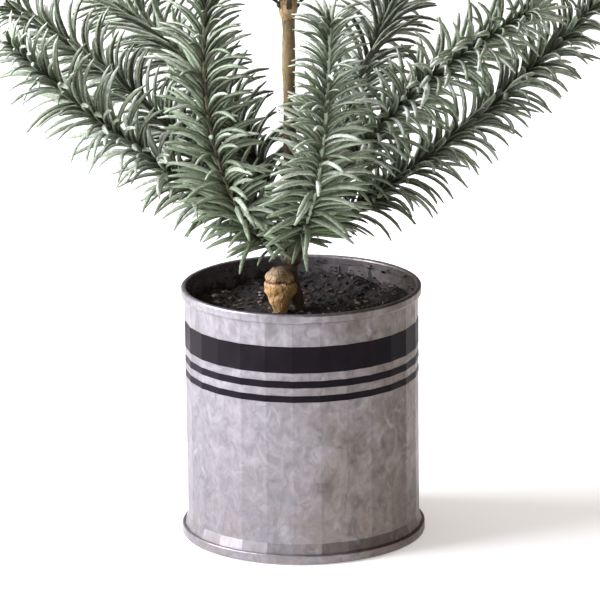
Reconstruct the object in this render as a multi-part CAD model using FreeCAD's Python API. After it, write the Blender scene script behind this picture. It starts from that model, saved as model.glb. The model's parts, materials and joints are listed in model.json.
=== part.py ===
import FreeCAD, Part
import os
from math import cos, degrees, pi, radians, sin, tan

# Artificial tabletop fir in a galvanised tin. Millimetres, +Z up.
# The origin is the middle of the plane the tin's foot stands on, and the front is -Y.
# Azimuths are in degrees about +Z from +X, so 90 is the back and 270 the front.

# ---- the tin: driving sizes
TIN_HEIGHT = 131.0          # from the table to the top of the rolled rim
TIN_RADIUS = 60.0           # to the corners between the wall's flats
TIN_FLATS = 27              # flats rolled into the wall
FLATS_TURN = -4.66          # turn of the first corner from the front, degrees
SHEET = 0.6                 # thickness of the steel sheet
RIM_HEIGHT = 5.0            # height of the rolled rim
RIM_REACH = 1.7             # how far the rim stands out past the wall
RIM_ROUND = 1.1             # corner radius of the rolled rim
RIM_GAP = 0.5               # gap left where the rolled edge comes back to the wall
GAP_INSET = 0.1             # from the wall's corners to that gap
SEAM_WIDTH = 4.0            # lap seam up the inside of the wall
SEAM_FLAT = 12              # the flat the lap seam lies on, counted from the first corner
FLARE_HEIGHT = 10.0         # where the wall starts to spread to the foot
FLARE_REACH = 2.2           # how far the wall spreads at the foot
BEAD_HEIGHT = 5.0           # the closed seam bead round the foot
BEAD_REACH = 0.7            # how far the bead stands out past the spread wall
BEAD_WIDTH = 2.3            # radial thickness of the bead
BEAD_ROUND = 0.8            # corner radius of the bead
BASE_RISE = 2.0             # underside of the base disc above the table
BASE_LIP = 1.6              # depth of the base disc's turned-down edge

# ---- the painted stripes: lower and upper edge, measured down from the top of the tin
PAINT = 0.15                # thickness of the paint
WIDE_BAND = (TIN_HEIGHT - 30.9, TIN_HEIGHT - 17.2)
UPPER_PINSTRIPE = (TIN_HEIGHT - 38.7, TIN_HEIGHT - 35.1)
LOWER_PINSTRIPE = (TIN_HEIGHT - 46.2, TIN_HEIGHT - 42.8)

# ---- what fills the tin
FILL_CLEARANCE = 0.1        # between the filling and the wall's flats
BALLAST_TOP = 60.0          # top of the poured plaster
SOIL_TOP = TIN_HEIGHT - 14.0

# ---- the trunk. Its heights go up and down with the top of the tin
TRUNK_X = -5.0              # the upright trunk stands a little left of the tin's axis
FOOT_X = -1.0               # where the trunk's core enters the peat
FOOT_Y = 3.0
CORE_RADIUS = 1.6
CORE_BOTTOM = 18.0          # lower end of the core, cast into the plaster
LEAN_START = TIN_HEIGHT - 15.0      # the core leans between these two heights
LEAN_END = TIN_HEIGHT + 6.0
SLEEVE_START = TIN_HEIGHT - 27.0    # the bark sleeve starts inside the peat
SLEEVE_RADIUS = 3.4         # bark sleeve at the bottom of the trunk
SLEEVE_TAPER = 0.25         # the bark gets this much thinner at each whorl
BUTT_X = -11.3              # the root stub beside the trunk
BUTT_Y = -4.5
BUTT_PROFILE = (            # height and radius of the stub, from its foot in the peat upwards
    (TIN_HEIGHT - 22.0, 1.4),
    (TIN_HEIGHT - 8.0, 5.8),
    (TIN_HEIGHT + 3.0, 8.7),
    (TIN_HEIGHT + 9.0, 7.6),
)
BUTT_ROUND = 2.4            # radius of the stub's top edge

# ---- joints between the branches and the trunk's knobs
PLAY = 0.3                  # clearance round everything that turns
STEM_RADIUS = 1.1
EYE_RADIUS = 1.6            # the round eye bent at the root of each branch wire
EYE_LENGTH = 2.6
RAISE = 10.0                # how far a branch bends up, degrees
DROOP = 12.0                # how far a branch bends down, degrees
LEADER_BEND = 10.0          # how far the leader bends either way, degrees
SLOT_REACH = 9.0            # slots in a knob reach this far from the eye

# ---- the needles, as the plain space they fill
SPRAY_FLATNESS = 0.34       # thickness of a spray as a share of its width
BARE_ROOT = 17.0            # bare stem between the eye and the first needles
PAST_TIP = 14.0             # needles reach this far past the end of the stem
SECTOR_MARGIN = 0.8         # kept between a spray and the middle of the gap to the next one
SPRAY_STEPS = (0.0, 0.12, 0.34, 0.6, 0.84, 1.0)
SPRAY_FULLNESS = (0.22, 0.62, 1.0, 1.0, 0.72, 0.16)
LEADER_LENGTH = 104.0
LEADER_HALF_WIDTH = 12.0
LEADER_AZIMUTH = 315.0      # the way the leader bends

# ---- the whorls, from the bottom up.
# z: height of the knob's middle. knob: its radius and height. eyes: how far the eyes are from the
# trunk's middle. tier: how far every second branch sits below the others. spray: how far the needles
# reach to each side of the stem. branches: azimuth, rise at the root, rise at the tip (degrees) and
# length of the stem.
WHORLS = (
    {
        "z": TIN_HEIGHT + 20.0, "knob": (8.0, 20.0), "eyes": 5.2, "tier": 5.0, "spray": 27.0,
        "branches": (
            (356.0, 31.0, 48.0, 190.0),
            (327.0, 63.0, 28.0, 197.0),
            (281.0, 21.0, 85.0, 176.0),
            (240.0, 23.0, 102.0, 176.0),
            (200.0, 33.0, 45.0, 179.0),
            (165.0, 52.0, 30.0, 183.0),
            (134.0, 69.0, 8.0, 177.0),
            (60.0, 50.0, 42.0, 174.0),
        ),
    },
    {
        "z": TIN_HEIGHT + 146.0, "knob": (5.8, 15.0), "eyes": 4.2, "tier": 0.0, "spray": 24.0,
        "branches": (
            (56.0, 44.0, 34.0, 142.0),
            (128.0, 46.0, 36.0, 136.0),
            (200.0, 42.0, 34.0, 144.0),
            (276.0, 50.0, 38.0, 134.0),
            (342.0, 45.0, 33.0, 140.0),
        ),
    },
    {
        "z": TIN_HEIGHT + 253.0, "knob": (5.6, 14.0), "eyes": 4.2, "tier": 0.0, "spray": 22.0,
        "branches": (
            (58.0, 44.0, 34.0, 106.0),
            (150.0, 42.0, 36.0, 102.0),
            (240.0, 45.0, 33.0, 108.0),
            (332.0, 43.0, 35.0, 104.0),
        ),
    },
    {
        "z": TIN_HEIGHT + 341.0, "knob": (5.4, 14.0), "eyes": 4.2, "tier": 0.0, "spray": 20.0,
        "branches": (
            (15.0, 42.0, 34.0, 72.0),
            (135.0, 44.0, 33.0, 70.0),
            (255.0, 43.0, 35.0, 74.0),
        ),
    },
)

UP = FreeCAD.Vector(0, 0, 1)
ORIGIN = FreeCAD.Vector(0, 0, 0)


def save(name, shape):
    """Writes one piece as its own STEP file."""
    shape.exportStep(os.path.join("parts", name + ".step"))


def fused(shapes):
    """One solid out of several that touch."""
    whole = shapes[0]
    for shape in shapes[1:]:
        whole = whole.fuse(shape)
    return whole.removeSplitter()


# ---------------------------------------------------------------- the tin

def flats_wire(corner_radius, z):
    """The outline of the flat-sided wall at one height."""
    points = []
    for i in range(TIN_FLATS + 1):
        turn = radians(FLATS_TURN + 360.0 * i / TIN_FLATS)
        points.append(FreeCAD.Vector(corner_radius * sin(turn), -corner_radius * cos(turn), z))
    points[-1] = points[0]
    return Part.makePolygon(points)


def flats_prism(corner_radius, bottom, top):
    """A solid with the wall's flats, as wide at the top as at the bottom."""
    return Part.Face(flats_wire(corner_radius, bottom)).extrude(UP * (top - bottom))


def to_corner(flat_radius):
    """The radius to the corners of an outline whose flats are this far from its middle."""
    return flat_radius / cos(pi / TIN_FLATS)


def to_flat(corner_radius):
    """How far the flats are from the middle of an outline with these corners."""
    return corner_radius * cos(pi / TIN_FLATS)


def on_circle(middle, radius, angle):
    """A point on an upright circle in the XZ plane."""
    return middle + FreeCAD.Vector(cos(radians(angle)), 0, sin(radians(angle))) * radius


def rounded_box_face(inner, outer, bottom, top, corner):
    """A rounded rectangle in the XZ plane, ready to be turned about Z."""
    quarters = (
        (outer - corner, top - corner, 0),
        (inner + corner, top - corner, 90),
        (inner + corner, bottom + corner, 180),
        (outer - corner, bottom + corner, 270),
    )
    edges = []
    last = FreeCAD.Vector(outer, 0, bottom + corner)
    for x, z, angle in quarters:
        middle = FreeCAD.Vector(x, 0, z)
        start, half, end = [on_circle(middle, corner, angle + step) for step in (0, 45, 90)]
        edges.append(Part.makeLine(last, start))
        edges.append(Part.Arc(start, half, end).toShape())
        last = end
    return Part.Face(Part.Wire(edges))


def turned(face):
    """The ring made by turning a face once round the tin's axis."""
    return face.revolve(ORIGIN, UP, 360)


def rolled_rim():
    """The wall's top edge rolled outward and back down, open where it comes back to the wall."""
    outer = TIN_RADIUS + RIM_REACH
    inner = to_flat(TIN_RADIUS) - SHEET
    bottom = TIN_HEIGHT - RIM_HEIGHT
    roll = rounded_box_face(inner, outer, bottom, TIN_HEIGHT, RIM_ROUND)
    hollow = rounded_box_face(inner + SHEET, outer - SHEET, bottom + SHEET,
                              TIN_HEIGHT - SHEET, RIM_ROUND - SHEET)
    gap = Part.makePlane(RIM_GAP, RIM_HEIGHT / 2, FreeCAD.Vector(TIN_RADIUS + GAP_INSET, 0, bottom - SHEET),
                         FreeCAD.Vector(0, -1, 0), FreeCAD.Vector(1, 0, 0))
    section = roll.cut(hollow).cut(gap)
    return turned(section.Faces[0])


def seam_bead():
    """The closed bead at the foot that locks the base disc to the wall."""
    outer = TIN_RADIUS + FLARE_REACH + BEAD_REACH
    return turned(rounded_box_face(outer - BEAD_WIDTH, outer, 0.0, BEAD_HEIGHT, BEAD_ROUND))


def lap_seam():
    """The strip where the sheet laps over itself, up the inside of one flat."""
    middle = radians(FLATS_TURN + 360.0 * (SEAM_FLAT + 0.5) / TIN_FLATS)
    inside = to_flat(TIN_RADIUS) - SHEET
    height = TIN_HEIGHT - RIM_HEIGHT - FLARE_HEIGHT
    strip = Part.makeBox(SEAM_WIDTH, 2 * SHEET, height,
                         FreeCAD.Vector(-SEAM_WIDTH / 2, -inside - SHEET, FLARE_HEIGHT))
    strip.rotate(ORIGIN, UP, degrees(middle))
    return strip


def tin_wall():
    """The flat-sided wall with its rolled rim, lap seam, spread foot and foot bead."""
    wall_top = TIN_HEIGHT - RIM_HEIGHT / 2
    inside = to_corner(to_flat(TIN_RADIUS) - SHEET)
    spread = TIN_RADIUS + FLARE_REACH
    spread_inside = to_corner(to_flat(spread) - SHEET)
    wall = flats_prism(TIN_RADIUS, FLARE_HEIGHT, wall_top)
    wall = wall.cut(flats_prism(inside, FLARE_HEIGHT, wall_top))
    bead_middle = BEAD_HEIGHT / 2
    flare = Part.makeLoft([flats_wire(spread, bead_middle), flats_wire(TIN_RADIUS, FLARE_HEIGHT)],
                          True, True)
    hollow = Part.makeLoft([flats_wire(spread_inside, bead_middle), flats_wire(inside, FLARE_HEIGHT)],
                           True, True)
    return fused([wall, flare.cut(hollow), rolled_rim(), seam_bead(), lap_seam()])


def tin_base():
    """The base disc, its edge turned down inside the foot bead."""
    radius = TIN_RADIUS + FLARE_REACH + BEAD_REACH - BEAD_WIDTH
    top = BASE_RISE + SHEET
    disc = Part.makeCylinder(radius, SHEET, FreeCAD.Vector(0, 0, BASE_RISE))
    lip = Part.makeCylinder(radius, BASE_LIP, FreeCAD.Vector(0, 0, top - BASE_LIP))
    lip = lip.cut(Part.makeCylinder(radius - SHEET, BASE_LIP, FreeCAD.Vector(0, 0, top - BASE_LIP)))
    return fused([disc, lip])


def stripe(heights):
    """One painted stripe, lying on the wall's flats."""
    bottom, top = heights
    outside = to_corner(to_flat(TIN_RADIUS) + PAINT)
    return flats_prism(outside, bottom, top).cut(flats_prism(TIN_RADIUS, bottom, top))


# ---------------------------------------------------------------- the trunk

def rod(points, radius):
    """A round rod through these points, with round bends."""
    pieces = []
    for start, end in zip(points, points[1:]):
        along = end - start
        pieces.append(Part.makeCylinder(radius, along.Length, start, along))
    for bend in points[1:-1]:
        pieces.append(Part.makeSphere(radius, bend))
    return fused(pieces)


def knob_bottom(whorl):
    return whorl["z"] - whorl["knob"][1] / 2


def knob_top(whorl):
    return whorl["z"] + whorl["knob"][1] / 2


def on_trunk(z):
    """The middle of the upright trunk at one height."""
    return FreeCAD.Vector(TRUNK_X, 0, z)


def core():
    """The wire core, cast into the plaster, leaning through the peat and then upright."""
    top = knob_top(WHORLS[-1]) - 2 * EYE_RADIUS - 2 * PLAY
    foot = FreeCAD.Vector(FOOT_X, FOOT_Y, CORE_BOTTOM)
    lean = FreeCAD.Vector(FOOT_X, FOOT_Y, LEAN_START)
    return rod([foot, lean, on_trunk(LEAN_END), on_trunk(top)], CORE_RADIUS)


def lowest_sleeve():
    """The bark from inside the peat up to the first knob."""
    foot = FreeCAD.Vector(FOOT_X, FOOT_Y, SLEEVE_START)
    lean = FreeCAD.Vector(FOOT_X, FOOT_Y, LEAN_START)
    return rod([foot, lean, on_trunk(LEAN_END), on_trunk(knob_bottom(WHORLS[0]))], SLEEVE_RADIUS)


def sleeve(level):
    """The bark between two knobs, a little thinner at the top."""
    bottom = knob_top(WHORLS[level - 1])
    top = knob_bottom(WHORLS[level])
    wide = SLEEVE_RADIUS - SLEEVE_TAPER * (level - 1)
    return Part.makeCone(wide, wide - SLEEVE_TAPER, top - bottom, on_trunk(bottom))


def root_butt():
    """The root stub moulded beside the trunk: narrow in the peat, wide above it, round on top."""
    rings = []
    for (bottom, bottom_radius), (top, top_radius) in zip(BUTT_PROFILE, BUTT_PROFILE[1:]):
        place = FreeCAD.Vector(BUTT_X, BUTT_Y, bottom)
        rings.append(Part.makeCone(bottom_radius, top_radius, top - bottom, place))
    stub = fused(rings)
    top_edge = [edge for edge in stub.Edges if edge.BoundBox.ZMin > top - BUTT_ROUND]
    return stub.makeFillet(BUTT_ROUND, top_edge)


# ---------------------------------------------------------------- the branches

def outward(azimuth):
    """The level direction a branch points in."""
    return FreeCAD.Vector(cos(radians(azimuth)), sin(radians(azimuth)), 0)


def across(azimuth):
    """The level direction of a branch's hinge, so that a positive turn raises the branch."""
    return FreeCAD.Vector(sin(radians(azimuth)), -cos(radians(azimuth)), 0)


def eye_place(whorl, index):
    """The middle of the eye at the root of one branch."""
    azimuth = whorl["branches"][index][0]
    rise = whorl["tier"] * (0.5 - index % 2)
    return on_trunk(whorl["z"] + rise) + outward(azimuth) * whorl["eyes"]


def along_stem(branch, distance, lift=0.0):
    """How far out and up the stem is at a distance along it, and its slope there in radians.
    The stem is an arc of a circle. Past its end it goes on straight."""
    _, root_rise, tip_rise, length = branch
    start = radians(root_rise + lift)
    bend = radians(tip_rise - root_rise) / length
    on_arc = min(distance, length)
    slope = start + bend * on_arc
    out = (sin(slope) - sin(start)) / bend + (distance - on_arc) * cos(slope)
    up = (cos(start) - cos(slope)) / bend + (distance - on_arc) * sin(slope)
    return out, up, slope


def stem_point(branch, root, distance):
    """A point on the stem's middle line."""
    out, up, _ = along_stem(branch, distance)
    return root + outward(branch[0]) * out + UP * up


def eye(place, azimuth, radius, length):
    """A round eye or its pocket, lying along the hinge."""
    axis = across(azimuth)
    return Part.makeCylinder(radius, length, place - axis * (length / 2), axis)


def stem(branch, root):
    """The wrapped wire of one branch, a round arc with its eye at the root."""
    azimuth, root_rise, _, length = branch
    arc = Part.Arc(root, stem_point(branch, root, length / 2), stem_point(branch, root, length))
    heading = outward(azimuth) * cos(radians(root_rise)) + UP * sin(radians(root_rise))
    section = Part.Wire(Part.makeCircle(STEM_RADIUS, root, heading))
    wire = Part.Wire(arc.toShape()).makePipeShell([section], True, False)
    return fused([eye(root, azimuth, EYE_RADIUS, EYE_LENGTH), wire])


def sector_half_width(whorl, index, distance):
    """The widest half spray that stays on its own side of the gaps to the next branches,
    wherever it bends to."""
    azimuth = whorl["branches"][index][0]
    gaps = []
    for other in whorl["branches"]:
        gap = abs((other[0] - azimuth + 180.0) % 360.0 - 180.0)
        if gap > 0:
            gaps.append(gap)
    half_gap = radians(min(gaps) / 2)
    reach = whorl["eyes"] + along_stem(whorl["branches"][index], distance, RAISE)[0]
    return reach * tan(half_gap) - SECTOR_MARGIN / cos(half_gap)


def oval(middle, wide_way, half_width, tall_way, half_height):
    """An upright oval outline across a spray."""
    ellipse = Part.Ellipse(middle + wide_way * half_width, middle + tall_way * half_height, middle)
    return Part.Wire(ellipse.toShape())


def needles(whorl, index, root):
    """The space one branch's needles fill, a leaf-shaped body round its stem."""
    branch = whorl["branches"][index]
    azimuth = branch[0]
    length = branch[3]
    wires = []
    for step, fullness in zip(SPRAY_STEPS, SPRAY_FULLNESS):
        distance = BARE_ROOT + step * (length + PAST_TIP - BARE_ROOT)
        half_width = min(whorl["spray"] * fullness, sector_half_width(whorl, index, distance))
        out, up, slope = along_stem(branch, distance)
        middle = root + outward(azimuth) * out + UP * up
        tall_way = outward(azimuth) * -sin(slope) + UP * cos(slope)
        wires.append(oval(middle, across(azimuth), half_width, tall_way, half_width * SPRAY_FLATNESS))
    return Part.makeLoft(wires, True, False)


def slot(place, azimuth, low, high):
    """What a knob loses so that a stem can swing between two slopes, in degrees."""
    side = across(azimuth)
    cuts = [eye(place, azimuth, EYE_RADIUS + PLAY, EYE_LENGTH + 2 * PLAY)]
    corners = [place]
    for slope in (low, (low + high) / 2, high):
        heading = outward(azimuth) * cos(radians(slope)) + UP * sin(radians(slope))
        corners.append(place + heading * SLOT_REACH)
        cuts.append(Part.makeCylinder(STEM_RADIUS + PLAY, SLOT_REACH, place, heading))
    half = STEM_RADIUS + PLAY
    fan = Part.Face(Part.makePolygon(corners + [place]))
    fan.translate(side * -half)
    cuts.append(fan.extrude(side * (2 * half)))
    return cuts


def leader_root():
    """The middle of the eye at the root of the leader, on top of the highest knob."""
    return on_trunk(knob_top(WHORLS[-1]) - EYE_RADIUS)


def knob(level):
    """The moulded knob that a whorl's branches grow from, with a pocket and a slot for each."""
    whorl = WHORLS[level]
    radius, height = whorl["knob"]
    neck = SLEEVE_RADIUS
    bottom = FreeCAD.Vector(neck, 0, -height / 2)
    top = FreeCAD.Vector(neck, 0, height / 2)
    side = Part.Arc(bottom, FreeCAD.Vector(radius, 0, 0), top).toShape()
    low_end = FreeCAD.Vector(0, 0, -height / 2)
    high_end = FreeCAD.Vector(0, 0, height / 2)
    outline = Part.Wire([Part.makeLine(low_end, bottom), side, Part.makeLine(top, high_end),
                         Part.makeLine(high_end, low_end)])
    body = Part.Face(outline).revolve(ORIGIN, UP, 360)
    body.translate(on_trunk(whorl["z"]))
    for index, branch in enumerate(whorl["branches"]):
        place = eye_place(whorl, index)
        for cut in slot(place, branch[0], branch[1] - DROOP, branch[1] + RAISE):
            body = body.cut(cut)
    if level == len(WHORLS) - 1:
        for cut in slot(leader_root(), LEADER_AZIMUTH, 90.0 - LEADER_BEND, 90.0 + LEADER_BEND):
            body = body.cut(cut)
    return body


def leader_stem():
    """The top shoot's wire, straight up from its eye."""
    root = leader_root()
    wire = Part.makeCylinder(STEM_RADIUS, LEADER_LENGTH, root, UP)
    return fused([eye(root, LEADER_AZIMUTH, EYE_RADIUS, EYE_LENGTH), wire])


def leader_needles():
    """The space the top shoot's needles fill, a round spindle."""
    root = leader_root()
    wires = []
    for step, fullness in zip(SPRAY_STEPS, SPRAY_FULLNESS):
        height = BARE_ROOT + step * (LEADER_LENGTH + PAST_TIP - BARE_ROOT)
        circle = Part.makeCircle(LEADER_HALF_WIDTH * fullness, root + UP * height, UP)
        wires.append(Part.Wire(circle))
    return Part.makeLoft(wires, True, False)


# ---------------------------------------------------------------- the filling

def filling(bottom, top):
    """A round block that fits inside the wall's flats."""
    radius = to_flat(TIN_RADIUS) - SHEET - FILL_CLEARANCE
    return Part.makeCylinder(radius, top - bottom, FreeCAD.Vector(0, 0, bottom))


def main():
    os.makedirs("parts", exist_ok=True)

    wall = tin_wall()
    save("tin_wall", wall)
    save("tin_base", tin_base())
    save("stripe_wide", stripe(WIDE_BAND))
    save("stripe_upper", stripe(UPPER_PINSTRIPE))
    save("stripe_lower", stripe(LOWER_PINSTRIPE))

    trunk_core = core()
    save("trunk_core", trunk_core)
    first_bark = lowest_sleeve()
    butt = root_butt().cut(first_bark)
    save("root_butt", butt)
    save("bark_1", first_bark.cut(trunk_core))
    for level in range(1, len(WHORLS)):
        save("bark_%d" % (level + 1), sleeve(level).cut(trunk_core))

    plaster = filling(BASE_RISE + SHEET, BALLAST_TOP)
    save("ballast", plaster.cut(wall).cut(trunk_core))
    peat = filling(BALLAST_TOP, SOIL_TOP)
    save("soil", peat.cut(wall).cut(trunk_core).cut(first_bark).cut(butt))

    for level, whorl in enumerate(WHORLS):
        save("knob_%d" % (level + 1), knob(level).cut(trunk_core))
        for index, branch in enumerate(whorl["branches"]):
            label = "%d_%d" % (level + 1, index + 1)
            root = eye_place(whorl, index)
            branch_stem = stem(branch, root)
            save("stem_" + label, branch_stem)
            save("needles_" + label, needles(whorl, index, root).cut(branch_stem))

    top_stem = leader_stem()
    save("leader_stem", top_stem)
    save("leader_needles", leader_needles().cut(top_stem))


main()
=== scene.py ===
import json
import math
import random
import bmesh
import bpy
from mathutils import Matrix, Vector


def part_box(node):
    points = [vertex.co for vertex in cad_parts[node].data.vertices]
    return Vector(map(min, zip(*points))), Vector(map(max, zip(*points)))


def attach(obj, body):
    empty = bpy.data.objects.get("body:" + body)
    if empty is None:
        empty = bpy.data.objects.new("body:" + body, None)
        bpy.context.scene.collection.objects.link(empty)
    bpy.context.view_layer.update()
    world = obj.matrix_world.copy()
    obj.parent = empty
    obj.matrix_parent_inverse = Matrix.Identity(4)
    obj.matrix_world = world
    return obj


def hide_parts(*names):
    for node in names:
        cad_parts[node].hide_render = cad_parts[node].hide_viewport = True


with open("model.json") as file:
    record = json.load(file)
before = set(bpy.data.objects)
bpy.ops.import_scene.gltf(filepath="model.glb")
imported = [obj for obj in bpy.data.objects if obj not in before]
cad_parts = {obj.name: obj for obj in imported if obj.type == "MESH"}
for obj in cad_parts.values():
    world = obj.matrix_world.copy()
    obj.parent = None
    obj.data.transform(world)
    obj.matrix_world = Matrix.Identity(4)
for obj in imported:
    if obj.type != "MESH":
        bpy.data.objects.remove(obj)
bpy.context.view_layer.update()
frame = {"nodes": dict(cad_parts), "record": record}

record = frame["record"]

# ---------------------------------------------------------------------------
# Tin wall and base disc. Galvanised steel sheet, rolled into narrow flats, with
# a rolled rim, a lap seam and a foot bead that locks the disc in. The zinc has a
# cloudy patina, painted shade turns it dark and brown on the +X side, and peat dust clings to the inside.
# ---------------------------------------------------------------------------
ZINC_PALE = (0.375, 0.360, 0.388, 1.0)
ZINC_MIDDLE = (0.250, 0.236, 0.254, 1.0)
ZINC_DULL = (0.170, 0.157, 0.166, 1.0)
# painted shade: the dark, brown zinc of the +X side
SHADED_ZINC_PALE = (0.255, 0.222, 0.198, 1.0)
SHADED_ZINC_DULL = (0.118, 0.095, 0.080, 1.0)
ZINC_STAIN = (0.135, 0.103, 0.082, 1.0)
PEAT_DUST = (0.010, 0.008, 0.009, 1.0)
CLOUDS_PER_METRE = 60.0
BLOTCHES_PER_METRE = 150.0
FINE_MOTTLE_PER_METRE = 480.0
BLOOMS_PER_METRE = 95.0
SIDE_SHADE_PER_METRE = 22.0
SMEARS_PER_METRE = 120.0
# how much of the tone comes from the clouds, the blotches and the fine mottle
TONE_SHARES = (0.48, 0.40, 0.12)
SIDE_SHADE_SLOPE = 9.0                                 # how fast the painted shade thickens towards +X, per metre
STAIN_BAND = (0.012, 0.070)                         # heights that the stains at the foot fade between
# a face whose normal and place multiply to less than the first is inside the wall, past the second outside
FACING_IN = (-0.040, -0.020)
PEAT_BELOW_RIM = 0.014


def new_finish(name):
    """A material with a bare principled shader, and its node tree."""
    finish = bpy.data.materials.new(name)
    finish.use_nodes = True
    tree = finish.node_tree
    tree.nodes.clear()
    output = tree.nodes.new("ShaderNodeOutputMaterial")
    shader = tree.nodes.new("ShaderNodeBsdfPrincipled")
    tree.links.new(shader.outputs["BSDF"], output.inputs["Surface"])
    return finish, tree, shader


def object_place(tree, stretch=(1.0, 1.0, 1.0)):
    """Object coordinates, stretched, as the place on the piece."""
    place = tree.nodes.new("ShaderNodeTexCoord")
    mapping = tree.nodes.new("ShaderNodeMapping")
    mapping.inputs["Scale"].default_value = stretch
    tree.links.new(place.outputs["Object"], mapping.inputs["Vector"])
    return mapping.outputs["Vector"]


def noise(tree, place, scale, detail=4.0, rough=0.55, distortion=0.0):
    """A cloudy pattern from 0 to 1."""
    node = tree.nodes.new("ShaderNodeTexNoise")
    node.inputs["Scale"].default_value = scale
    node.inputs["Detail"].default_value = detail
    node.inputs["Roughness"].default_value = rough
    node.inputs["Distortion"].default_value = distortion
    tree.links.new(place, node.inputs["Vector"])
    return node.outputs["Fac"]


def ramp(tree, value, stops):
    """Colours along a value. stops: (position, colour)."""
    node = tree.nodes.new("ShaderNodeValToRGB")
    elements = node.color_ramp.elements
    while len(elements) < len(stops):
        elements.new(0.5)
    for element, (position, colour) in zip(elements, stops):
        element.position = position
        element.color = colour
    tree.links.new(value, node.inputs["Fac"])
    return node.outputs["Color"]


def span(tree, value, low, high, to_low=0.0, to_high=1.0, smooth=False):
    """A value from one range brought to another, and kept inside it."""
    node = tree.nodes.new("ShaderNodeMapRange")
    node.interpolation_type = "SMOOTHSTEP" if smooth else "LINEAR"
    node.inputs["From Min"].default_value = low
    node.inputs["From Max"].default_value = high
    node.inputs["To Min"].default_value = to_low
    node.inputs["To Max"].default_value = to_high
    tree.links.new(value, node.inputs["Value"])
    return node.outputs["Result"]


def sums(tree, operation, first, second):
    """One step of arithmetic on two values. Either may be a number."""
    node = tree.nodes.new("ShaderNodeMath")
    node.operation = operation
    for socket, value in zip(node.inputs, (first, second)):
        if isinstance(value, (int, float)):
            socket.default_value = value
        else:
            tree.links.new(value, socket)
    return node.outputs["Value"]


def mixed(tree, share, first, second):
    """Two colours mixed. Either may be a fixed colour."""
    node = tree.nodes.new("ShaderNodeMix")
    node.data_type = "RGBA"
    for name, value in (("Factor", share), ("A", first), ("B", second)):
        wanted = "NodeSocketFloatFactor" if name == "Factor" else "NodeSocketColor"
        socket = [s for s in node.inputs if s.name == name and s.bl_idname.startswith(wanted)][0]
        if isinstance(value, (int, float, tuple)):
            socket.default_value = value
        else:
            tree.links.new(value, socket)
    return [s for s in node.outputs if s.bl_idname == "NodeSocketColor"][0]


def bumped(tree, shader, height, strength, distance):
    """Small relief in the shading."""
    node = tree.nodes.new("ShaderNodeBump")
    node.inputs["Strength"].default_value = strength
    node.inputs["Distance"].default_value = distance
    tree.links.new(height, node.inputs["Height"])
    tree.links.new(node.outputs["Normal"], shader.inputs["Normal"])


def finish_node(node, finish):
    """Gives a carried-over piece its finish."""
    piece = frame["nodes"][node]
    for slot in piece.material_slots:
        slot.material = finish
    if not piece.material_slots:
        piece.data.materials.append(finish)


def part_of(tree, vector, axis):
    """One part of a vector, X, Y or Z."""
    node = tree.nodes.new("ShaderNodeSeparateXYZ")
    tree.links.new(vector, node.inputs["Vector"])
    return node.outputs[axis]


zinc, tree, shader = new_finish("galvanised_zinc")
place = object_place(tree)
clouds = noise(tree, place, CLOUDS_PER_METRE, 5.0, 0.6, 0.9)
blotches = noise(tree, object_place(tree, (1.0, 1.0, 0.7)), BLOTCHES_PER_METRE, 3.0, 0.5, 1.6)
fine = noise(tree, place, FINE_MOTTLE_PER_METRE, 3.0, 0.6)
cloud_part, blotch_part, fine_part = (
    sums(tree, "MULTIPLY", pattern, share) for pattern, share in zip((clouds, blotches, fine), TONE_SHARES))
tone = sums(tree, "ADD", sums(tree, "ADD", cloud_part, blotch_part), fine_part)
zinc_colour = ramp(tree, tone, ((0.34, ZINC_DULL), (0.50, ZINC_MIDDLE), (0.68, ZINC_PALE)))
# painted shade: the zinc turns dark and brown towards the +X side
zinc_in_painted_shade = ramp(tree, tone, ((0.38, SHADED_ZINC_DULL), (0.64, SHADED_ZINC_PALE)))
side_shade = sums(tree, "MULTIPLY", part_of(tree, place, "X"), SIDE_SHADE_SLOPE)
side_shade = sums(tree, "ADD", side_shade, noise(tree, place, SIDE_SHADE_PER_METRE, 4.0, 0.55, 0.6))
zinc_colour = mixed(tree, span(tree, side_shade, 0.45, 0.95, 0.0, 0.92, True), zinc_colour, zinc_in_painted_shade)
bloom = noise(tree, place, BLOOMS_PER_METRE, 4.0, 0.55, 1.2)
bloom = span(tree, bloom, 0.60, 0.74, 0.0, 0.6, True)
zinc_colour = mixed(tree, bloom, zinc_colour, ZINC_PALE)
low_down = span(tree, part_of(tree, place, "Z"), *STAIN_BAND, 0.45, 0.08, True)
stains = sums(tree, "MULTIPLY", low_down, span(tree, clouds, 0.38, 0.62, 0.0, 1.0, True))
zinc_colour = mixed(tree, stains, zinc_colour, ZINC_STAIN)
# peat dust smeared up the inside of the wall, thickest next to the peat
facing = tree.nodes.new("ShaderNodeNewGeometry")
outwards = tree.nodes.new("ShaderNodeVectorMath")
outwards.operation = "DOT_PRODUCT"
flat_place = object_place(tree, (1.0, 1.0, 0.0))
tree.links.new(facing.outputs["Normal"], outwards.inputs[0])
tree.links.new(flat_place, outwards.inputs[1])
inside = span(tree, outwards.outputs["Value"], *FACING_IN, 1.0, 0.0)
rim_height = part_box("tin_wall")[1][2]
near_peat = span(tree, part_of(tree, place, "Z"), rim_height - PEAT_BELOW_RIM, rim_height, 0.26, -0.16)
smears = sums(tree, "ADD", noise(tree, place, SMEARS_PER_METRE, 5.0, 0.62, 1.0), near_peat)
smears = sums(tree, "MULTIPLY", inside, span(tree, smears, 0.58, 0.68, 0.0, 0.85, True))
zinc_colour = mixed(tree, smears, zinc_colour, PEAT_DUST)
tree.links.new(zinc_colour, shader.inputs["Base Color"])
tree.links.new(sums(tree, "MULTIPLY", sums(tree, "SUBTRACT", 1.0, smears), 0.78), shader.inputs["Metallic"])
tree.links.new(span(tree, tone, 0.35, 0.65, 0.50, 0.36), shader.inputs["Roughness"])
bumped(tree, shader, sums(tree, "ADD", blotches, sums(tree, "MULTIPLY", fine, 0.3)), 0.16, 0.0006)
for piece in ("tin_wall", "tin_base"):
    finish_node(piece, zinc)

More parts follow.
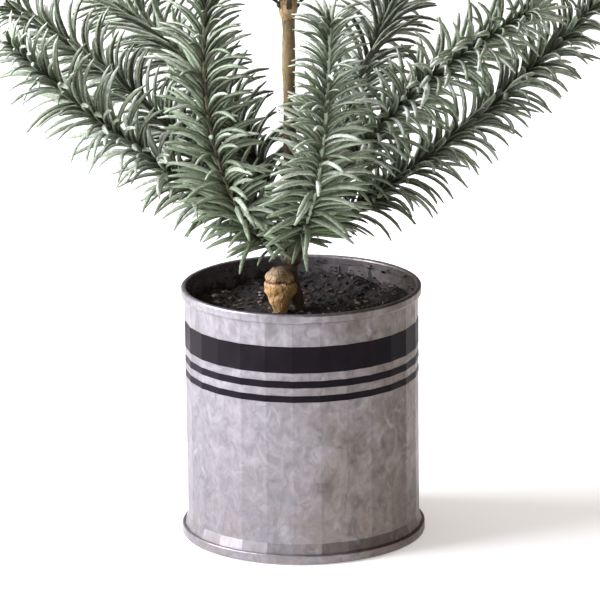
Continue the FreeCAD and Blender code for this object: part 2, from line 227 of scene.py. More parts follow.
# ---------------------------------------------------------------------------
# Stripes. One wide and two narrow bands of black enamel, brushed on over the
# flats, so that each flat still catches the light on its own.
# ---------------------------------------------------------------------------
ENAMEL = (0.006, 0.004, 0.0065, 1.0)
ENAMEL_WORN = (0.012, 0.008, 0.012, 1.0)

enamel, tree, shader = new_finish("black_enamel")
place = object_place(tree)
wear = noise(tree, place, 55.0, 5.0, 0.6)
tree.links.new(ramp(tree, wear, ((0.42, ENAMEL), (0.68, ENAMEL_WORN))), shader.inputs["Base Color"])
tree.links.new(span(tree, wear, 0.35, 0.7, 0.42, 0.56), shader.inputs["Roughness"])
shader.inputs["Specular IOR Level"].default_value = 0.07
strokes = noise(tree, object_place(tree, (1.0, 1.0, 9.0)), 90.0, 3.0)
bumped(tree, shader, strokes, 0.12, 0.0003)
for stripe in ("stripe_wide", "stripe_upper", "stripe_lower"):
    finish_node(stripe, enamel)

# ---------------------------------------------------------------------------
# Plaster weight and the trunk's wire core. The plaster is poured round the foot
# of the wire and hardens in the tin. Both are out of sight.
# ---------------------------------------------------------------------------
PLASTER = (0.60, 0.57, 0.52, 1.0)
PLASTER_DAMP = (0.44, 0.41, 0.37, 1.0)
WIRE = (0.36, 0.35, 0.34, 1.0)
WIRE_DARK = (0.20, 0.19, 0.18, 1.0)

plaster, tree, shader = new_finish("poured_plaster")
place = object_place(tree)
damp = noise(tree, place, 40.0, 5.0)
tree.links.new(ramp(tree, damp, ((0.4, PLASTER_DAMP), (0.62, PLASTER))), shader.inputs["Base Color"])
shader.inputs["Roughness"].default_value = 0.9
bumped(tree, shader, noise(tree, place, 300.0, 4.0), 0.3, 0.0008)
finish_node("ballast", plaster)

wire, tree, shader = new_finish("drawn_wire")
place = object_place(tree, (1.0, 1.0, 0.1))
drawn = noise(tree, place, 900.0, 3.0)
tree.links.new(ramp(tree, drawn, ((0.4, WIRE_DARK), (0.6, WIRE))), shader.inputs["Base Color"])
shader.inputs["Metallic"].default_value = 0.9
shader.inputs["Roughness"].default_value = 0.42
finish_node("trunk_core", wire)

# ---------------------------------------------------------------------------
# Peat. Black peat glued over the plaster, heaped a little against the back of the
# wall, with loose crumbs of peat and bark on top and some clinging to the wall.
# ---------------------------------------------------------------------------
PEAT_BLACK = (0.006, 0.005, 0.005, 1.0)
PEAT_BROWN = (0.030, 0.020, 0.016, 1.0)
CRUMB_DARK = (0.012, 0.009, 0.008, 1.0)
CRUMB_BROWN = (0.090, 0.055, 0.040, 1.0)
CRUMB_PALE = (0.30, 0.23, 0.20, 1.0)
PEAT_RINGS = 34
PEAT_SPOKES = 150
# heaps of peat: where round the tin (degrees), how far out (share of its radius), how high (metres)
PEAT_HEAPS = ((62, 0.96, 0.0040), (84, 1.0, 0.0022), (118, 1.0, 0.0030), (30, 1.0, 0.0034),
              (150, 0.92, 0.0026), (200, 0.7, 0.0016), (330, 0.6, 0.0018), (250, 0.5, -0.0014))
HEAP_CORE = 0.0022                                  # what is nearer than this to a heap's place is lifted
HEAP_SPREAD = 0.017                                 # and it takes along the peat as far out as this
CRUMBS = 900
WALL_CRUMBS = 260
WALL_CRUMBS_UP = 0.012                              # how far up the wall the crumbs cling
CRUMB_RADIUS = 0.001
CRUMB_MARGIN = 0.0015                               # loose crumbs lie at least this far from the wall
WALL_GAP = 0.0006                                   # clinging ones are this far from it
CRUMB_SEED = 41


def deselect():
    bpy.ops.object.select_all(action="DESELECT")


def working_on(piece):
    """Only this piece is selected and active."""
    deselect()
    piece.select_set(True)
    bpy.context.view_layer.objects.active = piece


def named(name):
    """The primitive just added, under its own name."""
    piece = bpy.context.active_object
    piece.name = name
    piece.data.name = name
    return piece


def pick(piece, wanted):
    """In edit mode, selects the vertices that are wanted, and nothing else."""
    bpy.ops.mesh.select_mode(type="VERT")
    bpy.ops.mesh.select_all(action="DESELECT")
    mesh = bmesh.from_edit_mesh(piece.data)
    for vert in mesh.verts:
        if wanted(vert):
            vert.select_set(True)
    mesh.select_flush_mode()
    bmesh.update_edit_mesh(piece.data)


def settle(piece):
    """The piece's place goes into its mesh."""
    working_on(piece)
    bpy.ops.object.transform_apply(location=True, rotation=True, scale=True)


def rough_up(piece, name, size, strength, middle=0.5, depth=3, along="NORMAL"):
    """Uneven relief pressed into the mesh."""
    clouds = bpy.data.textures.new(name, "CLOUDS")
    clouds.noise_scale = size
    clouds.noise_depth = depth
    modifier = piece.modifiers.new(name, "DISPLACE")
    modifier.texture = clouds
    modifier.texture_coords = "LOCAL"
    modifier.strength = strength
    modifier.mid_level = middle
    modifier.direction = along
    working_on(piece)
    bpy.ops.object.modifier_apply(modifier=name)


def joined(pieces, name):
    """Several pieces made one."""
    deselect()
    for piece in pieces:
        piece.select_set(True)
    bpy.context.view_layer.objects.active = pieces[0]
    bpy.ops.object.join()
    return named(name)


soil_low, soil_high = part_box("soil")
soil_radius = (soil_high[0] - soil_low[0]) / 2
soil_top = soil_high[2]

deselect()
bpy.ops.mesh.primitive_circle_add(vertices=PEAT_SPOKES, radius=soil_radius, fill_type="NOTHING",
                                  location=(0, 0, soil_top))
peat = named("peat")
bpy.ops.object.mode_set(mode="EDIT")
bpy.ops.mesh.select_all(action="SELECT")
for ring in range(1, PEAT_RINGS):
    bpy.ops.mesh.extrude_edges_move()
    bpy.ops.transform.resize(value=[(PEAT_RINGS - ring) / (PEAT_RINGS - ring + 1)] * 2 + [1],
                             center_override=(0, 0, soil_top))
bpy.ops.mesh.merge(type="CENTER")
bpy.ops.mesh.select_all(action="SELECT")
bpy.ops.mesh.normals_make_consistent(inside=False)
for turn, reach, rise in PEAT_HEAPS:
    spot = Vector((math.cos(math.radians(turn)), math.sin(math.radians(turn)), 0)) * soil_radius * reach
    pick(peat, lambda vert: math.hypot(vert.co.x - spot.x, vert.co.y - spot.y) < HEAP_CORE)
    bpy.ops.transform.translate(value=(0, 0, rise), use_proportional_edit=True,
                                proportional_edit_falloff="SMOOTH", proportional_size=HEAP_SPREAD)
bpy.ops.object.mode_set(mode="OBJECT")
settle(peat)
rough_up(peat, "peat_heaps", 0.016, 0.0040, 0.5, 2, "Z")
rough_up(peat, "peat_lumps", 0.0042, 0.0046, 0.5, 3, "Z")

bpy.ops.object.mode_set(mode="EDIT")
pick(peat, lambda vert: vert.is_boundary)
bpy.ops.mesh.extrude_edges_move(TRANSFORM_OT_translate={"value": (0, 0, soil_low[2] - soil_top)})
bpy.ops.mesh.edge_face_add()
bpy.ops.mesh.select_all(action="SELECT")
bpy.ops.mesh.normals_make_consistent(inside=False)
bpy.ops.object.mode_set(mode="OBJECT")

# a crumb is a small ball drawn out to a corner on one side
chance = random.Random(CRUMB_SEED)
deselect()
bpy.ops.mesh.primitive_ico_sphere_add(subdivisions=1, radius=CRUMB_RADIUS)
crumb = named("crumb")
bpy.ops.object.mode_set(mode="EDIT")
pick(crumb, lambda vert: vert.co.x > 0.7 * CRUMB_RADIUS)
bpy.ops.transform.translate(value=(0.0004, -0.0002, 0.0001))
bpy.ops.object.mode_set(mode="OBJECT")
crumbs = []
for index in range(CRUMBS + WALL_CRUMBS):
    turn = chance.uniform(0, 2 * math.pi)
    reach = (soil_radius - CRUMB_MARGIN) * math.sqrt(chance.random())
    size = chance.uniform(0.35, 1.25) * (1.5 if index % 11 == 0 else 1.0)
    shade = chance.random()
    if index < CRUMBS:
        above = Vector((reach * math.cos(turn), reach * math.sin(turn), soil_top + 0.03))
        point = peat.ray_cast(above, Vector((0, 0, -1)))[1] + Vector((0, 0, 0.0003))
    else:
        # these cling to the inside of the wall
        point = Vector((math.cos(turn), math.sin(turn), 0)) * (soil_radius - WALL_GAP)
        point.z = soil_top + WALL_CRUMBS_UP * chance.random() ** 1.8
        size *= 0.6
        shade *= 0.8
    copy = crumb.copy()
    copy.data = crumb.data.copy()
    bpy.context.collection.objects.link(copy)
    stretch = Matrix.Diagonal((size * chance.uniform(0.6, 1.5), size, size * chance.uniform(0.4, 0.8), 1))
    spun = Matrix.Rotation(chance.uniform(0, 6.3), 4, "Z")
    tipped = Matrix.Rotation(chance.uniform(-0.6, 0.6), 4, "X")
    copy.data.transform(Matrix.Translation(point) @ (spun @ tipped) @ stretch)
    tint = copy.data.attributes.new("crumb_tint", "FLOAT", "POINT")
    tint.data.foreach_set("value", [shade] * len(copy.data.vertices))
    crumbs.append(copy)
bpy.data.objects.remove(crumb)
loose = joined(crumbs, "peat_crumbs")

peat_finish, tree, shader = new_finish("black_peat")
place = object_place(tree)
grain = noise(tree, place, 520.0, 5.0, 0.7)
tree.links.new(ramp(tree, grain, ((0.42, PEAT_BLACK), (0.66, PEAT_BROWN))), shader.inputs["Base Color"])
shader.inputs["Roughness"].default_value = 0.85
bumped(tree, shader, grain, 0.8, 0.0012)
peat.data.materials.append(peat_finish)

crumb_finish, tree, shader = new_finish("peat_crumbs")
shade = tree.nodes.new("ShaderNodeAttribute")
shade.attribute_name = "crumb_tint"
grain = noise(tree, object_place(tree), 900.0, 3.0)
shade = sums(tree, "ADD", shade.outputs["Fac"], sums(tree, "MULTIPLY", grain, 0.06))
tree.links.new(ramp(tree, shade, ((0.55, CRUMB_DARK), (0.86, CRUMB_BROWN), (1.0, CRUMB_PALE))),
               shader.inputs["Base Color"])
shader.inputs["Roughness"].default_value = 0.8
bumped(tree, shader, grain, 0.5, 0.0004)
loose.data.materials.append(crumb_finish)
for piece in (peat, loose):
    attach(piece, "planter")
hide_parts("soil")

# ---------------------------------------------------------------------------
# Root stub. A moulded plastic butt with cracked bark, narrow at its foot,
# pushed into the peat beside the trunk.
# ---------------------------------------------------------------------------
BARK_OCHRE = (0.78, 0.50, 0.215, 1.0)
BARK_TAN = (0.50, 0.285, 0.105, 1.0)
BARK_GREY_SHADED = (0.25, 0.185, 0.130, 1.0)
BARK_CRACK = (0.045, 0.022, 0.012, 1.0)
BUTT_SIDES = 44
BUTT_STEPS = 44
# how wide the stub is on its way up, as a share of its widest. The dip near the top is a split
BUTT_SWELL = (0.20, 0.22, 0.24, 0.27, 0.31, 0.38, 0.50, 0.66, 0.80,
              0.88, 0.94, 0.98, 0.99, 0.84, 0.93, 0.82, 0.56)
BUTT_ROOM = 0.0006                                  # left free inside the CAD shape for the lumps
BUTT_SWAY = 0.00016                                 # the most that one step up goes sideways
BUTT_WIND = 0.33                                    # radians of its winding in one step
SPLIT_AT = 0.815                                    # the split's height, as a share of the stub's
SPLIT_HALF_WIDTH = 0.0011
CROWN_STEP = 0.0012                                 # the top is stepped in twice by this
SMOOTH_BELOW = math.radians(50)                     # edges blunter than this are shaded smooth


def cell_edges(tree, place, scale):
    """How far it is to the nearest edge in a pattern of cells."""
    node = tree.nodes.new("ShaderNodeTexVoronoi")
    node.feature = "DISTANCE_TO_EDGE"
    node.inputs["Scale"].default_value = scale
    tree.links.new(place, node.inputs["Vector"])
    return node.outputs["Distance"]


def bark_finish(name, pale, middle, crack, scale, cracked=0.5, split=None):
    """Moulded bark: pale ridges along the grain, dark cracks between them. split: the height and half
    width of one open split across the grain, and the colour of the bark above it."""
    finish, tree, shader = new_finish(name)
    along = object_place(tree, (1.0, 1.0, 0.45))
    ridges = noise(tree, along, scale, 6.0, 0.65, 0.8)
    patches = noise(tree, along, scale * 0.45, 3.0, 0.5, 0.6)
    pits = cell_edges(tree, along, scale * 1.3)
    open_crack = span(tree, pits, 0.0, 0.12, 1.0, 0.0, True)
    open_crack = sums(tree, "MULTIPLY", open_crack, span(tree, patches, 0.42, 0.58, 0.0, 1.0, True))
    colour = ramp(tree, ridges, ((0.36, middle), (0.60, pale)))
    if split:
        height, half_width, above = split
        level = part_of(tree, object_place(tree), "Z")
        ragged = sums(tree, "ADD", level, span(tree, ridges, 0.3, 0.7, -half_width, half_width))
        colour = mixed(tree, span(tree, ragged, height, height + 4 * half_width, 0.0, 0.75), colour, above)
        away = tree.nodes.new("ShaderNodeMath")
        away.operation = "ABSOLUTE"
        tree.links.new(sums(tree, "SUBTRACT", ragged, height), away.inputs[0])
        gap = span(tree, away.outputs["Value"], 0.2 * half_width, half_width, 0.9, 0.0, True)
        colour = mixed(tree, gap, colour, crack)
    share = sums(tree, "MULTIPLY", open_crack, cracked)
    tree.links.new(mixed(tree, share, colour, crack), shader.inputs["Base Color"])
    shader.inputs["Roughness"].default_value = 0.5
    relief = sums(tree, "SUBTRACT", ridges, sums(tree, "MULTIPLY", open_crack, 0.5))
    bumped(tree, shader, relief, 0.7, 0.0010)
    return finish


def swell(shares, step, steps):
    """A share read off between the stated ones."""
    at = step / steps * (len(shares) - 1)
    index = min(int(at), len(shares) - 2)
    return shares[index] + (shares[index + 1] - shares[index]) * (at - index)


butt_low, butt_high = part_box("root_butt")
butt_radius = (butt_high[0] - butt_low[0]) / 2 - BUTT_ROOM
butt_height = butt_high[2] - butt_low[2]
stub_x = butt_low[0] + butt_radius + BUTT_ROOM
stub_y = butt_low[1] + butt_radius + BUTT_ROOM
centre = Vector((stub_x, stub_y, butt_low[2]))
deselect()
bpy.ops.mesh.primitive_circle_add(vertices=BUTT_SIDES, radius=butt_radius, fill_type="NGON", location=centre)
butt = named("root_stub")
bpy.ops.object.mode_set(mode="EDIT")
bpy.ops.mesh.select_all(action="SELECT")
width = 1.0
for step in range(BUTT_STEPS + 1):
    wanted = swell(BUTT_SWELL, step, BUTT_STEPS)
    if step:
        # the stub winds a little on its way up
        sway = BUTT_SWAY * math.sin(step * BUTT_WIND)
        move = Vector((sway, 0.3 * sway, butt_height / BUTT_STEPS))
        bpy.ops.mesh.extrude_region_move(TRANSFORM_OT_translate={"value": move})
        centre += move
    bpy.ops.transform.resize(value=(wanted / width, wanted / width, 1), center_override=centre)
    width = wanted
bpy.ops.mesh.inset(thickness=CROWN_STEP, depth=0.0006)
bpy.ops.mesh.inset(thickness=CROWN_STEP, depth=-0.0002)
bpy.ops.mesh.select_all(action="SELECT")
bpy.ops.mesh.normals_make_consistent(inside=False)
bpy.ops.object.mode_set(mode="OBJECT")
settle(butt)
rough_up(butt, "stub_lumps", 0.0085, 0.0034, 0.5, 1)
rough_up(butt, "stub_cracks", 0.0024, 0.0013, 0.5, 4)
working_on(butt)
bpy.ops.object.shade_smooth_by_angle(angle=SMOOTH_BELOW)
split_height = butt_low[2] + SPLIT_AT * butt_height
# above the split the bark is grey-brown, darkened as painted shade under the low needles
ochre_bark = bark_finish("ochre_bark", BARK_OCHRE, BARK_TAN, BARK_CRACK, 260.0, 0.55,
                         split=(split_height, SPLIT_HALF_WIDTH, BARK_GREY_SHADED))
butt.data.materials.append(ochre_bark)
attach(butt, "planter")
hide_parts("root_butt")

# ---------------------------------------------------------------------------
# Trunk. Moulded plastic bark slipped over the wire core between the knobs,
# dark brown low down, which is painted shade, and tan higher up. The lowest sleeve leans with the core.
# ---------------------------------------------------------------------------
TRUNK_PALE = (0.33, 0.235, 0.105, 1.0)
TRUNK_MIDDLE = (0.17, 0.125, 0.055, 1.0)
TRUNK_DARK = (0.030, 0.017, 0.012, 1.0)
# painted shade: dark brown bark for the trunk low down, in the shade of the branches
SHADED_BARK_PALE = (0.105, 0.065, 0.036, 1.0)
SHADED_BARK_MIDDLE = (0.048, 0.029, 0.018, 1.0)
SHADED_BARK_CRACK = (0.010, 0.006, 0.005, 1.0)
BARK_SHADE_FADE = (0.214, 0.244)                      # between these heights the painted shade on the bark fades from dark to tan
SLEEVE_SIDES = 24
SLEEVE_STEP = 0.0018
SLEEVE_RADII = (0.0034, 0.0034, 0.00315, 0.0029)    # at the foot of each sleeve, from the lowest up
SLEEVE_TAPER = 0.0002
CORE_RADIUS = 0.0016
LEAN_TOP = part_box("tin_wall")[1][2] + 0.006         # the core leans below here
LEAN_RISE = 0.021

shaded_lower_bark = bark_finish("painted_shade_bark", SHADED_BARK_PALE, SHADED_BARK_MIDDLE, SHADED_BARK_CRACK, 260.0)
upper_bark = bark_finish("trunk_bark", TRUNK_PALE, TRUNK_MIDDLE, TRUNK_DARK, 240.0)
# the painted shade on the bark between the first two knobs fades from dark to tan on its way up
tree = upper_bark.node_tree
shader = tree.nodes["Principled BSDF"]
tan_colour = shader.inputs["Base Color"].links[0].from_socket
height = part_of(tree, object_place(tree), "Z")
painted_trunk_shade = span(tree, height, *BARK_SHADE_FADE, 0.88, 0.0)
tree.links.new(mixed(tree, painted_trunk_shade, tan_colour, SHADED_BARK_MIDDLE), shader.inputs["Base Color"])


def bark_tube(name, path, radius, top_radius):
    """A tube of bark along a path, ring by ring."""
    deselect()
    bpy.ops.mesh.primitive_circle_add(vertices=SLEEVE_SIDES, radius=radius, fill_type="NGON",
                                      location=path[0])
    tube = named(name)
    bpy.ops.object.mode_set(mode="EDIT")
    bpy.ops.mesh.select_all(action="SELECT")
    at = Vector(path[0])
    steps = len(path) - 1
    for step in range(1, steps + 1):
        move = Vector(path[step]) - at
        bpy.ops.mesh.extrude_region_move(TRANSFORM_OT_translate={"value": move})
        at = Vector(path[step])
        before = radius + (top_radius - radius) * (step - 1) / steps
        now = radius + (top_radius - radius) * step / steps
        bpy.ops.transform.resize(value=(now / before, now / before, 1), center_override=at)
    bpy.ops.mesh.select_all(action="SELECT")
    bpy.ops.mesh.normals_make_consistent(inside=False)
    bpy.ops.object.mode_set(mode="OBJECT")
    settle(tube)
    return tube


core_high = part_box("trunk_core")[1]
for level in range(1, 5):
    node = "bark_%d" % level
    low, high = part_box(node)
    knob_low, knob_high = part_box("knob_%d" % level)
    top = Vector(((knob_low[0] + knob_high[0]) / 2, 0, high[2]))
    foot = Vector((top.x, top.y, low[2]))
    count = int((high[2] - low[2]) / SLEEVE_STEP)
    path = [foot.lerp(top, step / count) for step in range(count + 1)]
    if level == 1:
        foot_x = core_high[0] - CORE_RADIUS
        foot_y = core_high[1] - CORE_RADIUS
        for point in path:
            share = min(1.0, max(0.0, (LEAN_TOP - point.z) / LEAN_RISE))
            point.x += (foot_x - top.x) * share
            point.y += foot_y * share
    wide = SLEEVE_RADII[level - 1]
    tube = bark_tube("trunk_bark_%d" % level, path, wide, wide - SLEEVE_TAPER)
    rough_up(tube, "bark_lumps_%d" % level, 0.012, 0.0012, 0.5, 1)
    rough_up(tube, "bark_scales_%d" % level, 0.0028, 0.0008, 0.5, 3)
    working_on(tube)
    bpy.ops.object.shade_smooth_by_angle(angle=SMOOTH_BELOW)
    tube.data.materials.append(shaded_lower_bark if level == 1 else upper_bark)
    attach(tube, "planter")
    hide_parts(node)

# ---------------------------------------------------------------------------
# Knobs. Swollen knots moulded round the core, where the wires of a whorl come
# out of the trunk.
# ---------------------------------------------------------------------------
KNOT_PALE = (0.60, 0.42, 0.22, 1.0)
KNOT_MIDDLE = (0.36, 0.235, 0.115, 1.0)
KNOT_WIDTH = 0.80                                   # as shares of the knob's half width and whole height
KNOT_HEIGHT = 0.57
knot_finish = bark_finish("knot_bark", KNOT_PALE, KNOT_MIDDLE, BARK_CRACK, 230.0, 0.45)

for level in range(1, 5):
    node = "knob_%d" % level
    low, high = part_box(node)
    middle = Vector([(a + b) / 2 for a, b in zip(low, high)])
    middle.y = 0.0
    deselect()
    bpy.ops.mesh.primitive_uv_sphere_add(segments=40, ring_count=26, radius=1.0, location=middle)
    knot = named("knot_%d" % level)
    half_width = (high[0] - low[0]) / 2
    bpy.ops.object.mode_set(mode="EDIT")
    bpy.ops.mesh.select_all(action="SELECT")
    across, upright = half_width * KNOT_WIDTH, (high[2] - low[2]) * KNOT_HEIGHT
    bpy.ops.transform.resize(value=(across, across, upright), center_override=middle)
    bpy.ops.object.mode_set(mode="OBJECT")
    settle(knot)
    rough_up(knot, "knot_lumps_%d" % level, 0.006, 0.0026, 0.45, 1)
    rough_up(knot, "knot_cracks_%d" % level, 0.0022, 0.0009, 0.5, 3)
    working_on(knot)
    bpy.ops.object.shade_smooth_by_angle(angle=SMOOTH_BELOW)
    # the lowest knot carries the same painted shade as the lowest bark
    knot.data.materials.append(shaded_lower_bark if level == 1 else knot_finish)
    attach(knot, "planter")
    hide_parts(node)

# ---------------------------------------------------------------------------
# Branches. Each one is a wire wrapped in brown-green tape, bent up and out
# from its knob, with soft flat needles set along it in rows. The needles curl
# back towards the trunk, and artificial frost lies on their upper faces. Painted
# shade darkens the needles at their roots and thins the frost near the trunk.
# ---------------------------------------------------------------------------
TAPE_DARK = (0.030, 0.025, 0.012, 1.0)
TAPE_OLIVE = (0.085, 0.080, 0.035, 1.0)
NEEDLE_LONG = 0.0325
NEEDLE_WIDE = 0.0030
NEEDLE_THICK = 0.0022
NEEDLE_SIDES = 6
# how wide a needle is from its root to its point, as a share of its widest
NEEDLE_TAPER = (0.48, 0.86, 1.0, 1.0, 0.96, 0.80, 0.34)
NEEDLE_CURLS = (38.0, 52.0, 62.0, 72.0, 84.0)       # how far each kind curls back over its length, degrees
# painted shade: the dark at the needle roots and in patches underneath
NEEDLE_PAINTED_SHADE = (0.018, 0.022, 0.009, 1.0)
NEEDLE_OLIVE = (0.042, 0.061, 0.022, 1.0)
NEEDLE_SAGE = (0.118, 0.166, 0.084, 1.0)
NEEDLE_UNDER = (0.050, 0.048, 0.028, 1.0)
FROST = (0.74, 0.775, 0.71, 1.0)
FROST_THIN = (0.31, 0.375, 0.26, 1.0)
# rise at the root, rise at the tip (degrees), length of the stem (metres), how heavy the frost is, how
# full the underside is, and the share of the stem past which the needles shorten towards the tip
STEM_BENDS = {
    "1_1": (31.0, 48.0, 0.190, 0.62, 1.0, 0.8),
    "1_2": (63.0, 28.0, 0.197, 0.66, 1.0, 0.8),
    "1_3": (21.0, 85.0, 0.176, 0.60, 0.4, 0.4),
    "1_4": (23.0, 102.0, 0.176, 0.46, 0.4, 0.8),
    "1_5": (33.0, 45.0, 0.179, 0.74, 1.0, 0.8),
    "1_6": (52.0, 30.0, 0.183, 0.76, 1.0, 0.8),
    "1_7": (69.0, 8.0, 0.177, 0.80, 1.0, 0.8),
    "1_8": (50.0, 42.0, 0.174, 0.64, 1.0, 0.8),
    "2_1": (44.0, 34.0, 0.142, 0.42, 0.8, 0.8),
    "2_2": (46.0, 36.0, 0.136, 0.42, 0.8, 0.8),
    "2_3": (42.0, 34.0, 0.144, 0.48, 0.8, 0.8),
    "2_4": (50.0, 38.0, 0.134, 0.52, 0.8, 0.8),
    "2_5": (45.0, 33.0, 0.140, 0.48, 0.8, 0.8),
    "3_1": (44.0, 34.0, 0.106, 0.42, 0.8, 0.8),
    "3_2": (42.0, 36.0, 0.102, 0.48, 0.8, 0.8),
    "3_3": (45.0, 33.0, 0.108, 0.48, 0.8, 0.8),
    "3_4": (43.0, 35.0, 0.104, 0.48, 0.8, 0.8),
    "4_1": (42.0, 34.0, 0.072, 0.48, 0.8, 0.8),
    "4_2": (44.0, 33.0, 0.070, 0.48, 0.8, 0.8),
    "4_3": (43.0, 35.0, 0.074, 0.52, 0.8, 0.8),
}
FIRST_NEEDLE = 0.012
NEEDLE_PITCH = 0.0035
NEEDLE_LEAN = (22, 40)                              # degrees off the stem, along the shoot
TIP_LEAN = (8, 34)                                  # and at its tip
ROW_SCATTER = 12                                    # degrees round the stem, either way
PITCH_SCATTER = 0.0011                              # metres along the stem, either way
TIP_NEEDLES = 11
TIP_TURN = 137.5                                    # degrees round the stem from one tip needle to the next
TIP_LENGTHS = (0.42, 0.60)
TAPE_RADIUS = 0.0007
FIRST_BRANCH_SEED = 500
# where round the stem the needles of a row sit, degrees from the top, on even and odd rows
EVEN_ROW = (90.0, -90.0, 34.0)
ODD_ROW = (66.0, -66.0, 112.0, -112.0, -22.0)
UNDER_ROW = (146.0, -146.0, 178.0)


def tape_finish(name, frosted):
    """Green tape wound on a stem, with frost stuck on some of it."""
    finish, tree, shader = new_finish(name)
    wrap = noise(tree, object_place(tree), 420.0, 4.0, 0.6)
    colour = ramp(tree, wrap, ((0.4, TAPE_DARK), (0.62, TAPE_OLIVE)))
    stuck = noise(tree, object_place(tree), 160.0, 4.0, 0.6)
    stuck = span(tree, stuck, 0.62 - frosted, 0.70 - frosted)
    tree.links.new(mixed(tree, stuck, colour, FROST_THIN), shader.inputs["Base Color"])
    shader.inputs["Roughness"].default_value = 0.7
    bumped(tree, shader, wrap, 0.6, 0.0008)
    return finish


tape = tape_finish("stem_tape", 0.0)
frosted_tape = tape_finish("frosted_tape", 0.22)

needle_finish, tree, shader = new_finish("frosted_needle")
place = object_place(tree)
marks = tree.nodes.new("ShaderNodeAttribute")
marks.attribute_name = "needle_marks"
split = tree.nodes.new("ShaderNodeSeparateColor")
tree.links.new(marks.outputs["Color"], split.inputs["Color"])
run, upper, frost_and_painted_shade = (split.outputs[name] for name in ("Red", "Green", "Blue"))
edge = marks.outputs["Alpha"]
mottle = noise(tree, place, 170.0, 4.0, 0.6)
green = ramp(tree, sums(tree, "ADD", sums(tree, "MULTIPLY", mottle, 0.8), sums(tree, "MULTIPLY", run, 0.22)),
             ((0.28, NEEDLE_OLIVE), (0.66, NEEDLE_SAGE)))
# painted shade: the needles darken towards their roots, deep in the foliage
green = mixed(tree, span(tree, run, 0.0, 0.30, 0.85, 0.0), green, NEEDLE_PAINTED_SHADE)
# the undersides are dark olive, mixed in patches with painted shade
under = mixed(tree, span(tree, mottle, 0.4, 0.65), NEEDLE_PAINTED_SHADE, NEEDLE_UNDER)
body = mixed(tree, upper, under, green)
# frost lies thickest on what faces up, along the edges and towards the point, and flakes off elsewhere; near
# the trunk it is thinned as painted shade
flakes = noise(tree, place, 640.0, 4.0, 0.7)
lying = sums(tree, "MULTIPLY", flakes, 0.55)
for catch, share in ((upper, 0.11), (edge, 0.15), (run, 0.08), (frost_and_painted_shade, 0.42)):
    lying = sums(tree, "ADD", lying, sums(tree, "MULTIPLY", catch, share))
skyward = part_of(tree, tree.nodes.new("ShaderNodeNewGeometry").outputs["Normal"], "Z")
lying = sums(tree, "ADD", lying, span(tree, skyward, 0.1, 0.95, 0.0, 0.26))
thin = span(tree, lying, 0.58, 0.84, 0.0, 0.88, True)
thick = span(tree, lying, 0.84, 1.06, 0.0, 1.0, True)
colour = mixed(tree, thick, mixed(tree, thin, body, FROST_THIN), FROST)
tree.links.new(colour, shader.inputs["Base Color"])
tree.links.new(span(tree, thick, 0.0, 1.0, 0.46, 0.85), shader.inputs["Roughness"])
bumped(tree, shader, flakes, 0.35, 0.0004)

# a needle is drawn out straight along +X with its upper face to -Y, then curled back towards +Y
needle_kinds = []
for kind, curl in enumerate(NEEDLE_CURLS):
    deselect()
    bpy.ops.mesh.primitive_circle_add(vertices=NEEDLE_SIDES, radius=NEEDLE_WIDE / 2, fill_type="NGON",
                                      rotation=(0, math.radians(90), 0))
    needle = named("needle_kind_%d" % kind)
    settle(needle)
    bpy.ops.object.mode_set(mode="EDIT")
    bpy.ops.mesh.select_all(action="SELECT")
    bpy.ops.transform.rotate(value=math.radians(90), orient_axis="X", center_override=(0, 0, 0))
    bpy.ops.transform.resize(value=(1, NEEDLE_THICK / NEEDLE_WIDE, 1), center_override=(0, 0, 0))
    rings = len(NEEDLE_TAPER) - 1
    width = 1.0
    for step, share in enumerate(NEEDLE_TAPER):
        along = NEEDLE_LONG * step / rings
        if step:
            bpy.ops.mesh.extrude_region_move(TRANSFORM_OT_translate={"value": (NEEDLE_LONG / rings, 0, 0)})
        bpy.ops.transform.resize(value=(1, share / width, share / width), center_override=(along, 0, 0))
        width = share
    bpy.ops.mesh.select_all(action="SELECT")
    bpy.ops.mesh.normals_make_consistent(inside=False)
    bpy.ops.object.mode_set(mode="OBJECT")
    drawn = needle.data
    marks = drawn.attributes.new("needle_marks", "FLOAT_COLOR", "CORNER")
    values = []
    for face in drawn.polygons:
        for corner in face.loop_indices:
            spot = drawn.vertices[drawn.loops[corner].vertex_index].co
            top_side = 1.0 if face.normal.y < -0.3 else 0.0
            values += [spot.x / NEEDLE_LONG, top_side, 0.5, max(0.0, abs(spot.z) / NEEDLE_WIDE * 4 - 1)]
    marks.data.foreach_set("color", values)
    modifier = needle.modifiers.new("curl", "SIMPLE_DEFORM")
    modifier.deform_method = "BEND"
    modifier.deform_axis = "Z"
    modifier.angle = math.radians(curl)
    bpy.ops.object.modifier_apply(modifier="curl")
    needle.data.shade_smooth()
    needle_kinds.append(needle)


def set_needle(out, root, heading, face_up, size, frost_and_painted_shade, kind):
    """Puts one needle on the stem, upper face towards face_up."""
    heading = heading.normalized()
    face_up = (face_up - heading * face_up.dot(heading)).normalized()
    sideways = heading.cross(-face_up)
    turned = Matrix((heading, -face_up, sideways)).transposed().to_4x4()
    stout = 0.5 + 0.5 * size
    place = Matrix.Translation(root) @ turned @ Matrix.Diagonal((size, size, stout, 1))
    needle = needle_kinds[kind].copy()
    needle.data = needle_kinds[kind].data.copy()
    needle.data.transform(place)
    bpy.context.collection.objects.link(needle)
    marks = needle.data.attributes["needle_marks"].data
    values = [0.0] * (4 * len(marks))
    marks.foreach_get("color", values)
    values[2::4] = [frost_and_painted_shade] * len(marks)
    marks.foreach_set("color", values)
    out.append(needle)


